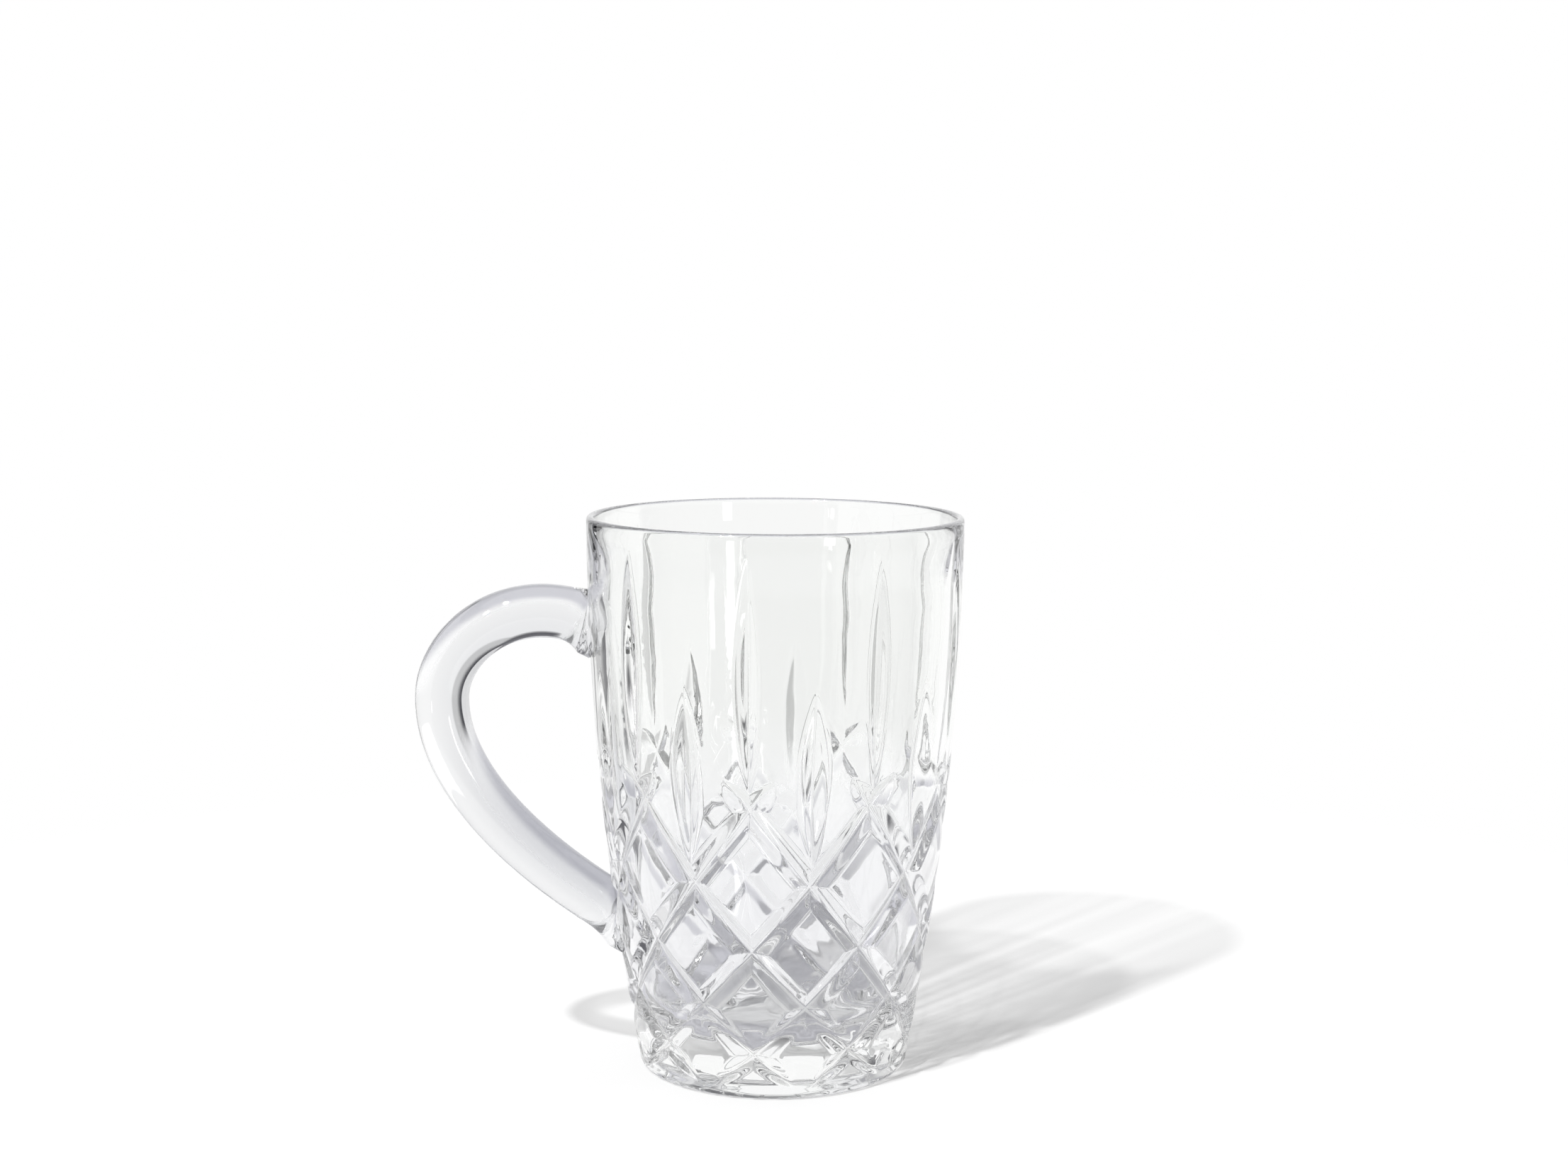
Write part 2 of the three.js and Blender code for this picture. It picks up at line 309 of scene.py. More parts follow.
@dataclass(frozen=True)
class CutPattern:
    """Grooves and leaves cut into the blank, with fire-polished edges."""

    form: CupForm
    columns: int = 9
    lattice_top_height: float = 64.2 * MM
    lattice_foot_height: float = 9.9 * MM
    row_steps: int = 4
    row_step_shrink: float = 2.0 * MM
    groove_width: float = 5.9 * MM
    groove_depth: float = 2.0 * MM
    groove_rise_past_top_row: float = 7.0 * MM
    groove_drop_past_foot_row: float = 7.2 * MM
    groove_runout: float = 6.0 * MM
    groove_fade: float = 0.25
    long_leaf_width: float = 4.8 * MM
    short_leaf_width: float = 6.2 * MM
    leaf_depth_share: float = 0.34
    long_leaf_below_rim: float = 6.0 * MM
    short_leaf_below_long: float = 27.0 * MM
    leaf_above_crossing: float = 4.5 * MM
    groove_blend: float = 0.42 * MM
    leaf_blend: float = 0.62 * MM
    groove_floor_round: float = 0.55 * MM
    leaf_floor_round: float = 0.22 * MM

    @property
    def half_column(self) -> float:
        """Angle from a long leaf to the next short leaf."""
        return math.pi / self.columns

    @property
    def first_row_step(self) -> float:
        """Drop from the top row of crossings to the next one."""
        shrunk = self.row_step_shrink * self.row_steps * (self.row_steps - 1) / 2.0
        return (self.lattice_top_height - self.lattice_foot_height + shrunk) / self.row_steps

    @property
    def groove_ends(self) -> tuple[float, float]:
        """Heights of the groove's lower and upper ends."""
        low = self.lattice_foot_height - self.groove_drop_past_foot_row
        return low, self.lattice_top_height + self.groove_rise_past_top_row

    def groove_height(self, rows: np.ndarray | float) -> np.ndarray | float:
        """Height of a groove after a number of rows down from the top row."""
        bend = self.row_step_shrink * rows * (rows - 1.0) / 2.0
        return self.lattice_top_height - self.first_row_step * rows + bend

    def groove_rows(self, z: np.ndarray | float) -> np.ndarray | float:
        """Rows down from the top row at which a groove passes a height.

        Args:
            z: Heights.

        Returns:
            Numbers of rows, negative above the top row.
        """
        slope = self.first_row_step + self.row_step_shrink / 2.0
        drop = self.lattice_top_height - z
        root = np.sqrt(np.maximum(slope**2 - 2.0 * self.row_step_shrink * drop, 0.0))
        return (slope - root) / self.row_step_shrink

    def groove_steepness(self, rows: np.ndarray | float) -> np.ndarray | float:
        """Drop of a groove for one row, at a number of rows down."""
        return self.first_row_step - self.row_step_shrink * (rows - 0.5)

    def leaf_ends(self, kind: LeafKind) -> tuple[float, float]:
        """Heights of a leaf's lower and upper points."""
        top = self.form.height - self.long_leaf_below_rim - kind.value * self.short_leaf_below_long
        return float(self.groove_height(float(kind.value))) + self.leaf_above_crossing, top

    def wrap(self, angle: np.ndarray | float) -> np.ndarray | float:
        """Angle from the nearest repeat of the pattern."""
        repeat = 2.0 * self.half_column
        return (angle + self.half_column) % repeat - self.half_column

    def groove_slope(self) -> float:
        """Rise of a groove's facets for their width."""
        return self.groove_depth / (self.groove_width / 2.0)

    def groove_centre(self, z: np.ndarray | float) -> np.ndarray | float:
        """Depth along the middle of a groove, which follows the row step and runs out at the ends.

        Args:
            z: Heights.

        Returns:
            Depths below the blank, negative past the ends.
        """
        low, high = self.groove_ends
        share = np.minimum(np.minimum(high - z, z - low) / self.groove_runout, 1.0)
        rows = np.clip(self.groove_rows(z), 0.0, float(self.row_steps))
        shrunk = (self.groove_steepness(rows) / self.groove_steepness(0.0)) ** self.groove_fade
        return self.groove_depth * shrunk * (1.0 - (1.0 - share) ** 2)

    def leaf_width(self, kind: LeafKind) -> float:
        """Greatest width of a leaf."""
        return self.long_leaf_width if kind is LeafKind.LONG else self.short_leaf_width

    def leaf_centre(self, kind: LeafKind, z: np.ndarray | float) -> np.ndarray | float:
        """Depth along the middle of a leaf, greatest half-way up.

        Args:
            kind: Long or short leaves.
            z: Heights.

        Returns:
            Depths below the blank, negative past the leaf's points.
        """
        low, high = self.leaf_ends(kind)
        depth = self.leaf_width(kind) * self.leaf_depth_share
        return depth * (1.0 - (2.0 * (z - low) / (high - low) - 1.0) ** 2)

    def groove_value(self, hand: Hand, angle: np.ndarray, z: np.ndarray) -> np.ndarray:
        """How far a point lies inside the grooves of one hand.

        Args:
            hand: Way in which the grooves wind.
            angle: Angles from a long leaf.
            z: Heights.

        Returns:
            Depth below the blank, negative outside the groove.
        """
        rows = self.groove_rows(z)
        radius = self.form.outer_radius(z)
        steepness = self.groove_steepness(rows)
        sideways = radius * self.half_column
        square = steepness / np.hypot(steepness, sideways)
        across = self.wrap(angle - hand.value * rows * self.half_column) * radius * square
        return self.groove_centre(z) - np.hypot(across, self.groove_floor_round) * self.groove_slope()

    def leaf_value(self, kind: LeafKind, angle: np.ndarray, z: np.ndarray) -> np.ndarray:
        """How far a point lies inside the leaves of one kind.

        Args:
            kind: Long or short leaves.
            angle: Angles from a long leaf.
            z: Heights.

        Returns:
            Depth below the blank, negative outside the leaf.
        """
        across = self.wrap(angle - kind.value * self.half_column) * self.form.outer_radius(z)
        away = np.hypot(across, self.leaf_floor_round)
        return self.leaf_centre(kind, z) - away * 2.0 * self.leaf_depth_share

    def depth(self, angle: np.ndarray, z: np.ndarray) -> np.ndarray:
        """Depth of the finished cut surface below the blank.

        Args:
            angle: Angles from a long leaf.
            z: Heights.

        Returns:
            Depths, with the edges of the cuts rounded.
        """
        grooves = np.maximum(*(self.groove_value(hand, angle, z) for hand in Hand))
        leaves = np.maximum(*(self.leaf_value(kind, angle, z) for kind in LeafKind))
        return np.maximum(smooth_cut(grooves, self.groove_blend), smooth_cut(leaves, self.leaf_blend))


@dataclass(frozen=True)
class GlassFinish:
    """Clear glass with the faint ripple that a mould and the fire leave on it, and a tint that deepens
    partly as glass colour and partly as painted shade.
    """

    name: str
    tint: Triple
    tint_with_painted_shade: Triple
    refraction: float = 1.52
    ripple_scale: float = 120.0
    ripple_height: float = 0.045 * MM
    haze: float = 0.012
    shadow_clear: float = 0.985
    shadow_edge: float = 0.82
    painted_shadow_light: float = 0.0
    streaks_round: float = 64.0
    streak_noise: tuple[float, float] = (0.38, 0.62)
    streak_shade: float = 0.855

    def build(self) -> bpy.types.Material:
        """Makes the material.

        Returns:
            A material with plain transmission, a tint that deepens into painted shade, a rippled normal
            and a light shadow.
        """
        plain = {"Transmission Weight": 1.0, "IOR": self.refraction, "Metallic": 0.0}
        material, shader = start_material(self.name, plain)
        tree = material.node_tree
        values = {
            "Scale": self.ripple_scale,
            "Haze": self.haze,
            "Clear": (*self.tint, 1.0),
            "Painted Shade Tint": (*self.tint_with_painted_shade, 1.0),
        }
        polish = add_node(tree, "ShaderNodeGroup", values, node_tree=fire_polish_group())
        bump = add_node(tree, "ShaderNodeBump", {"Strength": 1.0, "Distance": self.ripple_height})
        join(
            tree,
            (polish, "Ripple", bump, "Height"),
            (polish, "Colour", shader, "Base Color"),
            (polish, "Roughness", shader, "Roughness"),
            (bump, "Normal", shader, "Normal"),
        )
        self.lighten_shadow(tree)
        return material

    def lighten_shadow(self, tree: bpy.types.NodeTree) -> None:
        """Lets lamp light through for shadows, less at a slant, with painted streaks and a painted bright
        middle where the shade attribute is high, in place of traced caustics.

        Args:
            tree: Tree of the material, with its shader in place.
        """
        slant = add_node(tree, "ShaderNodeLayerWeight", {"Blend": EVEN_BLEND})
        ends = {"To Min": self.shadow_clear, "To Max": self.shadow_edge}
        pane = add_node(tree, "ShaderNodeMapRange", ends, interpolation_type="SMOOTHSTEP")
        place = add_node(tree, "ShaderNodeTexCoord")
        round_axis = add_node(tree, "ShaderNodeTexGradient", gradient_type="RADIAL")
        spread = add_node(tree, "ShaderNodeMath", {1: self.streaks_round}, operation="MULTIPLY")
        # Painted streaks in the cast shadow, by angle round the axis, in place of traced caustics.
        grain = {"Scale": 1.0, "Detail": STREAK_DETAIL}
        streak = add_node(tree, "ShaderNodeTexNoise", grain, noise_dimensions="1D")
        low, high = self.streak_noise
        ends = {"From Min": low, "From Max": high, "To Min": self.streak_shade}
        shade = add_node(tree, "ShaderNodeMapRange", ends)
        dim = add_node(tree, "ShaderNodeMath", operation="MULTIPLY")
        # Painted light: the shadow lightens where the shade attribute is high, giving the handle's shadow
        # a bright middle in place of a traced caustic.
        shade_mix = add_node(tree, "ShaderNodeAttribute", attribute_name=TINT_AND_PAINTED_SHADE)
        share = {1: self.painted_shadow_light}
        painted_light = add_node(tree, "ShaderNodeMath", share, operation="MULTIPLY_ADD", use_clamp=True)
        film = add_node(tree, "ShaderNodeBsdfTransparent")
        path = add_node(tree, "ShaderNodeLightPath")
        join(
            tree,
            (place, "Object", round_axis, "Vector"),
            (round_axis, "Fac", spread, 0),
            (spread, "Value", streak, "W"),
            (streak, "Fac", shade, "Value"),
            (slant, "Facing", pane, "Value"),
            (pane, "Result", dim, 0),
            (shade, "Result", dim, 1),
            (shade_mix, "Fac", painted_light, 0),
            (dim, "Value", painted_light, 2),
            (painted_light, "Value", film, "Color"),
        )
        seen = tree.nodes["Principled BSDF"]
        for ray in ("Is Diffuse Ray", "Is Shadow Ray"):
            mix = add_node(tree, "ShaderNodeMixShader")
            join(tree, (path, ray, mix, "Fac"), (seen, 0, mix, 1), (film, "BSDF", mix, 2))
            seen = mix
        join(tree, (seen, "Shader", tree.nodes["Material Output"], "Surface"))


def fire_polish_group() -> bpy.types.NodeTree:
    """Makes, once, the node group for the tint with painted shade, and the ripple and haze of
    fire-polished glass.

    Returns:
        A shader node group with a colour that deepens into painted shade where the attribute is high, a
        ripple height and a roughness.
    """
    name = "fire_polish"
    if name in bpy.data.node_groups:
        return bpy.data.node_groups[name]
    group = bpy.data.node_groups.new(name, "ShaderNodeTree")
    add_sockets(group, "INPUT", "NodeSocketFloat", "Scale", "Haze")
    add_sockets(group, "INPUT", "NodeSocketColor", "Clear", "Painted Shade Tint")
    add_sockets(group, "OUTPUT", "NodeSocketColor", "Colour")
    add_sockets(group, "OUTPUT", "NodeSocketFloat", "Ripple", "Roughness")
    given = add_node(group, "NodeGroupInput")
    result = add_node(group, "NodeGroupOutput")
    place = add_node(group, "ShaderNodeTexCoord")
    wave = add_node(group, "ShaderNodeTexNoise", {"Detail": RIPPLE_DETAIL})
    cloud = add_node(group, "ShaderNodeTexNoise", {"Scale": HAZE_SCALE, "Detail": HAZE_DETAIL})
    veil = add_node(group, "ShaderNodeMath", operation="MULTIPLY")
    # The tint runs from the clear glass colour to the deep one, partly glass colour and partly painted
    # shade.
    shade_mix = add_node(group, "ShaderNodeAttribute", attribute_name=TINT_AND_PAINTED_SHADE)
    tint = add_node(group, "ShaderNodeMixRGB")
    join(
        group,
        (shade_mix, "Fac", tint, "Fac"),
        (given, "Clear", tint, "Color1"),
        (given, "Painted Shade Tint", tint, "Color2"),
        (tint, "Color", result, "Colour"),
        (place, "Object", wave, "Vector"),
        (place, "Object", cloud, "Vector"),
        (given, "Scale", wave, "Scale"),
        (cloud, "Fac", veil, 0),
        (given, "Haze", veil, 1),
        (wave, "Fac", result, "Ripple"),
        (veil, "Value", result, "Roughness"),
    )
    return group


def arc(centre: tuple[float, float], radius: float, end: float, rows: int) -> Sheet:
    """Points along an arc of a half section, from its outermost point.

    Args:
        centre: Radius and height of its middle.
        radius: Radius of the arc itself.
        end: Angle at which it ends, upwards, or downwards where negative.
        rows: Number of steps along it.

    Returns:
        Points as radius and height.
    """
    x, z = centre
    turns = np.linspace(0.0, end, rows + 1)
    return [(x + radius * math.cos(turn), z + radius * math.sin(turn)) for turn in turns]


@dataclass
class CutCup:
    """The cup: a finely meshed sector of the cut wall, turned round the axis to close the cup."""

    form: CupForm
    pattern: CutPattern
    finish: GlassFinish
    arc_steps: int = 12
    line_step: float = 1.2 * MM
    line_growth: float = 1.25
    rows_past_ends: float = 0.06
    leaf_past_ends: float = 1.0 * MM
    columns_beside: int = 3
    least_stretch: float = 1e-6
    fill_step: float = 1.7 * MM
    fill_row_share: float = 0.87
    fill_stagger: tuple[float, float] = (0.75, 0.25)
    fill_clearance: float = 0.75 * MM
    groove_floor_places: tuple[float, ...] = (0.0, 0.22, 0.5, 0.9)
    groove_edge_places: tuple[float, ...] = (-1.3, -0.75, -0.38, -0.14, 0.08, 0.32, 0.7)
    leaf_edge_places: tuple[float, ...] = (-1.2, -0.75, -0.35, 0.0, 0.35, 0.7, 1.05)
    leaf_floor_places: tuple[float, ...] = (0.0, 0.14, 0.36)
    inside_rows: int = 44
    corner_rows: int = 14
    lip_rows: int = 10
    foot_edge_rows: int = 8
    recess_rows: int = 8
    disc_rows: int = 5
    join_gap: float = 0.003 * MM
    # Heights where the tint deepens and clears again: a belt over the lattice, partly glass colour and
    # partly painted shade.
    tint_and_shade_from: tuple[float, float] = (6.0 * MM, 16.0 * MM)
    clear_above: tuple[float, float] = (40.0 * MM, 84.0 * MM)
    points: Sheet = field(default_factory=list)
    edges: list[tuple[int, int]] = field(default_factory=list)

    @property
    def sheet_scale(self) -> float:
        """Length on the flat sheet for one radian round the wall."""
        return float(self.form.outer_radius(self.form.height / 2.0))

    @property
    def sheet_width(self) -> float:
        """Width of half a column on the flat sheet."""
        return self.pattern.half_column * self.sheet_scale

    def add_line(self, line: Sheet) -> None:
        """Adds the stretches of a line that lie on the flat sheet.

        Args:
            line: Points as distance round the wall and height.
        """
        low = np.array((0.0, self.form.foot_edge_radius))
        high = np.array((self.sheet_width, self.form.lip_start))
        for start, end in zip(line, line[1:]):
            a = np.array(start)
            way = np.array(end) - a
            enter, leave = 0.0, 1.0
            for axis in range(2):
                if way[axis] == 0.0:
                    if not low[axis] <= a[axis] <= high[axis]:
                        enter, leave = 1.0, 0.0
                    continue
                bounds = sorted(((low[axis] - a[axis]) / way[axis], (high[axis] - a[axis]) / way[axis]))
                enter = max(enter, bounds[0])
                leave = min(leave, bounds[1])
            if leave - enter > self.least_stretch:
                self.edges.append((len(self.points), len(self.points) + 1))
                self.points.append(tuple(np.clip(a + enter * way, low, high)))
                self.points.append(tuple(np.clip(a + leave * way, low, high)))

    def add_border(self) -> None:
        """Adds the border of the flat sheet."""
        low, high = self.form.foot_edge_radius, self.form.lip_start
        rows = round((high - low) / self.line_step)
        heights = [low + (high - low) * row / rows for row in range(rows + 1)]
        across = [self.sheet_width * step / self.arc_steps for step in range(self.arc_steps + 1)]
        for z in (low, high):
            self.add_line([(u, z) for u in across])
        for u in (0.0, self.sheet_width):
            self.add_line([(u, z) for z in heights])

    def add_grooves(self) -> None:
        """Adds lines along each groove: its floor, facets, edges and the flat beside them."""
        pattern = self.pattern
        low, high = pattern.groove_ends
        first = float(pattern.groove_rows(high)) - self.rows_past_ends
        last = float(pattern.groove_rows(low)) + self.rows_past_ends
        steps = round((last - first) * pattern.first_row_step * self.line_growth / self.line_step)
        rows = np.linspace(first, last, steps + 1)
        z = pattern.groove_height(rows)
        radius = self.form.outer_radius(z)
        drop = pattern.groove_steepness(rows)
        round_wall = radius * pattern.half_column
        length = np.hypot(drop, round_wall)
        half = np.maximum(pattern.groove_centre(z), 0.0) / pattern.groove_slope()
        lines = [np.full_like(z, place * MM) for place in self.groove_floor_places]
        lines += [half + place * MM for place in self.groove_edge_places]
        for hand in Hand:
            for column in range(-self.columns_beside, self.columns_beside + 1):
                middle = 2 * column * pattern.half_column + hand.value * rows * pattern.half_column
                for line in lines:
                    for side in (-1.0, 1.0):
                        angle = middle + hand.value * side * line * drop / length / radius
                        height = z + side * line * round_wall / length
                        self.add_runs(angle * self.sheet_scale, height, line)

    def add_leaves(self) -> None:
        """Adds lines along each leaf: its floor, facets, edges and the flat beside them."""
        pattern = self.pattern
        for kind in LeafKind:
            low, high = pattern.leaf_ends(kind)
            steps = round((high - low) / self.line_step)
            z = np.linspace(low - self.leaf_past_ends, high + self.leaf_past_ends, steps + 1)
            half = pattern.leaf_centre(kind, z) / (2.0 * pattern.leaf_depth_share)
            lines = [np.full_like(z, place * MM) for place in self.leaf_floor_places]
            lines += [half + place * MM for place in self.leaf_edge_places]
            for line in lines:
                side = 1.0 if kind is LeafKind.LONG else -1.0
                angle = kind.value * pattern.half_column + side * line / self.form.outer_radius(z)
                self.add_runs(angle * self.sheet_scale, z, line)

    def add_runs(self, across: np.ndarray, height: np.ndarray, away: np.ndarray) -> None:
        """Adds the stretches of a line that lie on its own side of a cut's middle.

        Args:
            across: Distances round the wall.
            height: Heights.
            away: Distances from the cut's middle, negative where the line has none.
        """
        run: Sheet = []
        for u, z, off in zip(across, height, away):
            if off >= 0.0:
                run.append((float(u), float(z)))
            elif run:
                self.add_line(run)
                run = []
        self.add_line(run)

    def add_fill(self) -> None:
        """Adds points over the smooth stretches between the cuts."""
        low, high = self.form.foot_edge_radius, self.form.lip_start
        rows = round((high - low) / (self.fill_step * self.fill_row_share))
        for row in range(1, rows):
            z = low + (high - low) * row / rows
            across = round(self.sheet_width / self.fill_step)
            for step in range(across):
                u = self.sheet_width * (step + self.fill_stagger[row % 2]) / across
                angle = np.array([u / self.sheet_scale])
                height = np.array([z])
                values = [self.pattern.groove_value(hand, angle, height) for hand in Hand]
                values += [self.pattern.leaf_value(kind, angle, height) for kind in LeafKind]
                if max(float(value[0]) for value in values) < -self.fill_clearance:
                    self.points.append((u, z))

    def wall_mesh(self) -> tuple[list[Vector], list[list[int]]]:
        """Meshes the cut wall of half a column.

        Returns:
            Points and triangles.
        """
        self.add_border()
        self.add_grooves()
        self.add_leaves()
        self.add_fill()
        points = [Vector(p) for p in self.points]
        flat, _, faces, *_ = delaunay_2d_cdt(points, self.edges, [], 0, WELD, False)
        sheet = np.array([tuple(p) for p in flat])
        angle, z = sheet[:, 0] / self.sheet_scale, sheet[:, 1]
        return self.on_wall(angle, z), [list(face) for face in faces]

    def on_wall(self, angle: np.ndarray, z: np.ndarray) -> list[Vector]:
        """Places points on the cut wall, with a long leaf along +X.

        Args:
            angle: Angles from the long leaf.
            z: Heights.

        Returns:
            The points.
        """
        depth = self.pattern.depth(angle, z)
        slope = self.form.outer_slope(z)
        length = np.hypot(1.0, slope)
        radius = self.form.outer_radius(z) - depth / length
        height = z + depth * slope / length
        return [Vector(p) for p in zip(radius * np.cos(angle), radius * np.sin(angle), height)]

    def turned_profiles(self) -> list[Sheet]:
        """Half sections that are turned plain: lip, inside and floor, and foot edge, ring and recess.

        Returns:
            Two lists of radius and height, each from the cut wall to the axis.
        """
        form = self.form
        lip = form.lip_thickness / 2.0
        lip_x = float(form.outer_radius(form.lip_start)) - lip
        inside = arc((lip_x, form.lip_start), lip, math.pi, self.lip_rows)
        corner = form.floor_thickness + form.floor_corner_radius
        for z in np.linspace(form.lip_start, corner, self.inside_rows + 1)[1:]:
            inside.append((form.inner_radius(float(z)), float(z)))
        corner_x = form.inner_radius(corner) - form.floor_corner_radius
        inside += arc((corner_x, corner), form.floor_corner_radius, -math.pi / 2.0, self.corner_rows)[1:]
        inside += self.disc(corner_x, form.floor_thickness)
        edge = form.foot_edge_radius
        edge_x = float(form.outer_radius(edge)) - edge
        under = arc((edge_x, edge), edge, -math.pi / 2.0, self.foot_edge_rows)
        ring_x = edge_x - form.ring_width
        for share in np.linspace(0.0, 1.0, self.recess_rows + 1):
            under.append((ring_x - form.recess_slope * share, form.recess_depth * ease(share, 0.0, 1.0)))
        under += self.disc(ring_x - form.recess_slope, form.recess_depth)
        return [inside, under]

    def disc(self, radius: float, z: float) -> Sheet:
        """Half section of a level disc, from just inside its edge to the axis."""
        shares = np.linspace(1.0, 0.0, self.disc_rows + 1)[1:]
        return [(radius * share, z) for share in shares]

    def sector(self) -> bpy.types.Mesh:
        """Makes one column of the cup, from the middle of a short leaf to the next.

        Returns:
            An open mesh about the +X direction.
        """
        mesh = bmesh.new()
        points, faces = self.wall_mesh()
        verts = [mesh.verts.new(p) for p in points]
        for face in faces:
            mesh.faces.new([verts[i] for i in face])
        angles = [self.pattern.half_column * step / self.arc_steps for step in range(self.arc_steps + 1)]
        for profile, upward in zip(self.turned_profiles(), (True, False)):
            rings = [
                [mesh.verts.new((r * math.cos(a), r * math.sin(a), z)) for a in angles] for r, z in profile
            ]
            for ring, above in zip(rings, rings[1:]):
                for step in range(self.arc_steps):
                    quad = [ring[step], ring[step + 1], above[step + 1], above[step]]
                    mesh.faces.new(quad if upward else quad[::-1])
        bmesh.ops.remove_doubles(mesh, verts=mesh.verts, dist=WELD)
        half = mesh.verts[:] + mesh.edges[:] + mesh.faces[:]
        twin = bmesh.ops.duplicate(mesh, geom=half)["geom"]
        twin_verts = [part for part in twin if isinstance(part, bmesh.types.BMVert)]
        twin_faces = [part for part in twin if isinstance(part, bmesh.types.BMFace)]
        bmesh.ops.scale(mesh, vec=(1.0, -1.0, 1.0), verts=twin_verts)
        bmesh.ops.reverse_faces(mesh, faces=twin_faces)
        bmesh.ops.remove_doubles(mesh, verts=mesh.verts, dist=WELD)
        bmesh.ops.dissolve_degenerate(mesh, edges=mesh.edges, dist=SLIVER)
        return take_mesh(mesh, "cup_column")

    def build(self) -> bpy.types.Object:
        """Makes the whole cup from its sector.

        Returns:
            The cup as one closed mesh.
        """
        cup = add_object("cut_cup", self.sector())
        tree = turning_tree()
        turning = cup.modifiers.new("turning", "NODES")
        turning.node_group = tree
        values = {
            "Columns": self.pattern.columns,
            "Start": math.pi,
            "Join": self.join_gap,
            "Glass": self.finish.build(),
        }
        for item in tree.interface.items_tree:
            if item.in_out == "INPUT" and item.name in values:
                turning[item.identifier] = values[item.name]
        make_plain(cup)
        heights = mesh_points(cup.data)[:, 2]
        # The tint deepens over a belt of heights round the lattice, partly glass colour and partly painted
        # shade; foot and upper wall stay clear.
        set_tint_and_painted_shade(cup.data, ease(heights, *self.tint_and_shade_from) * (1.0 - ease(heights, *self.clear_above)))
        return cup


def turning_tree() -> bpy.types.NodeTree:
    """Makes the Geometry Nodes tree that repeats a column round the axis and closes the joins.

    Returns:
        The tree, with the number of columns, the first angle, the joins' width and the glass as inputs.
    """
    tree = bpy.data.node_groups.new("columns_round_axis", "GeometryNodeTree")
    add_sockets(tree, "INPUT", "NodeSocketGeometry", "Geometry")
    add_sockets(tree, "INPUT", "NodeSocketInt", "Columns")
    add_sockets(tree, "INPUT", "NodeSocketFloat", "Start", "Join")
    add_sockets(tree, "INPUT", "NodeSocketMaterial", "Glass")
    add_sockets(tree, "OUTPUT", "NodeSocketGeometry", "Geometry")
    given = add_node(tree, "NodeGroupInput")
    result = add_node(tree, "NodeGroupOutput")
    points = add_node(tree, "GeometryNodePoints")
    index = add_node(tree, "GeometryNodeInputIndex")
    share = add_node(tree, "ShaderNodeMath", operation="DIVIDE")
    turn = add_node(tree, "ShaderNodeMath", {1: 2.0 * math.pi}, operation="MULTIPLY_ADD")
    about_axis = add_node(tree, "ShaderNodeCombineXYZ")
    copies = add_node(tree, "GeometryNodeInstanceOnPoints")
    real = add_node(tree, "GeometryNodeRealizeInstances")
    closed = add_node(tree, "GeometryNodeMergeByDistance")
    smooth = add_node(tree, "GeometryNodeSetShadeSmooth")
    glass = add_node(tree, "GeometryNodeSetMaterial")
    join(
        tree,
        (given, "Columns", points, "Count"),
        (index, "Index", share, 0),
        (given, "Columns", share, 1),
        (share, "Value", turn, 0),
        (given, "Start", turn, 2),
        (turn, "Value", about_axis, "Z"),
        (points, "Points", copies, "Points"),
        (given, "Geometry", copies, "Instance"),
        (about_axis, "Vector", copies, "Rotation"),
        (copies, "Instances", real, "Geometry"),
        (real, "Geometry", closed, "Geometry"),
        (given, "Join", closed, "Distance"),
        (closed, "Geometry", smooth, "Geometry"),
        (smooth, "Geometry", glass, "Geometry"),
        (given, "Glass", glass, "Material"),
        (glass, "Geometry", result, "Geometry"),
    )
    return tree


def make_plain(piece: bpy.types.Object) -> None:
    """Turns a piece's evaluated modifiers into its own mesh.

    Args:
        piece: Object with live modifiers.
    """
    bpy.context.view_layer.update()
    graph = bpy.context.evaluated_depsgraph_get()
    plain = bpy.data.meshes.new_from_object(piece.evaluated_get(graph))
    piece.modifiers.clear()
    piece.data = plain


def bezier(ends: tuple[Vector, Vector, Vector, Vector], share: float) -> Vector:
    """Point on a cubic curve.

    Args:
        ends: Start, its control, the end's control and the end.
        share: Place along the curve, from 0 to 1.

    Returns:
        The point.
    """
    rest = 1.0 - share
    near = ends[0] * rest**3 + ends[1] * 3.0 * rest * rest * share
    return near + ends[2] * 3.0 * rest * share * share + ends[3] * share**3


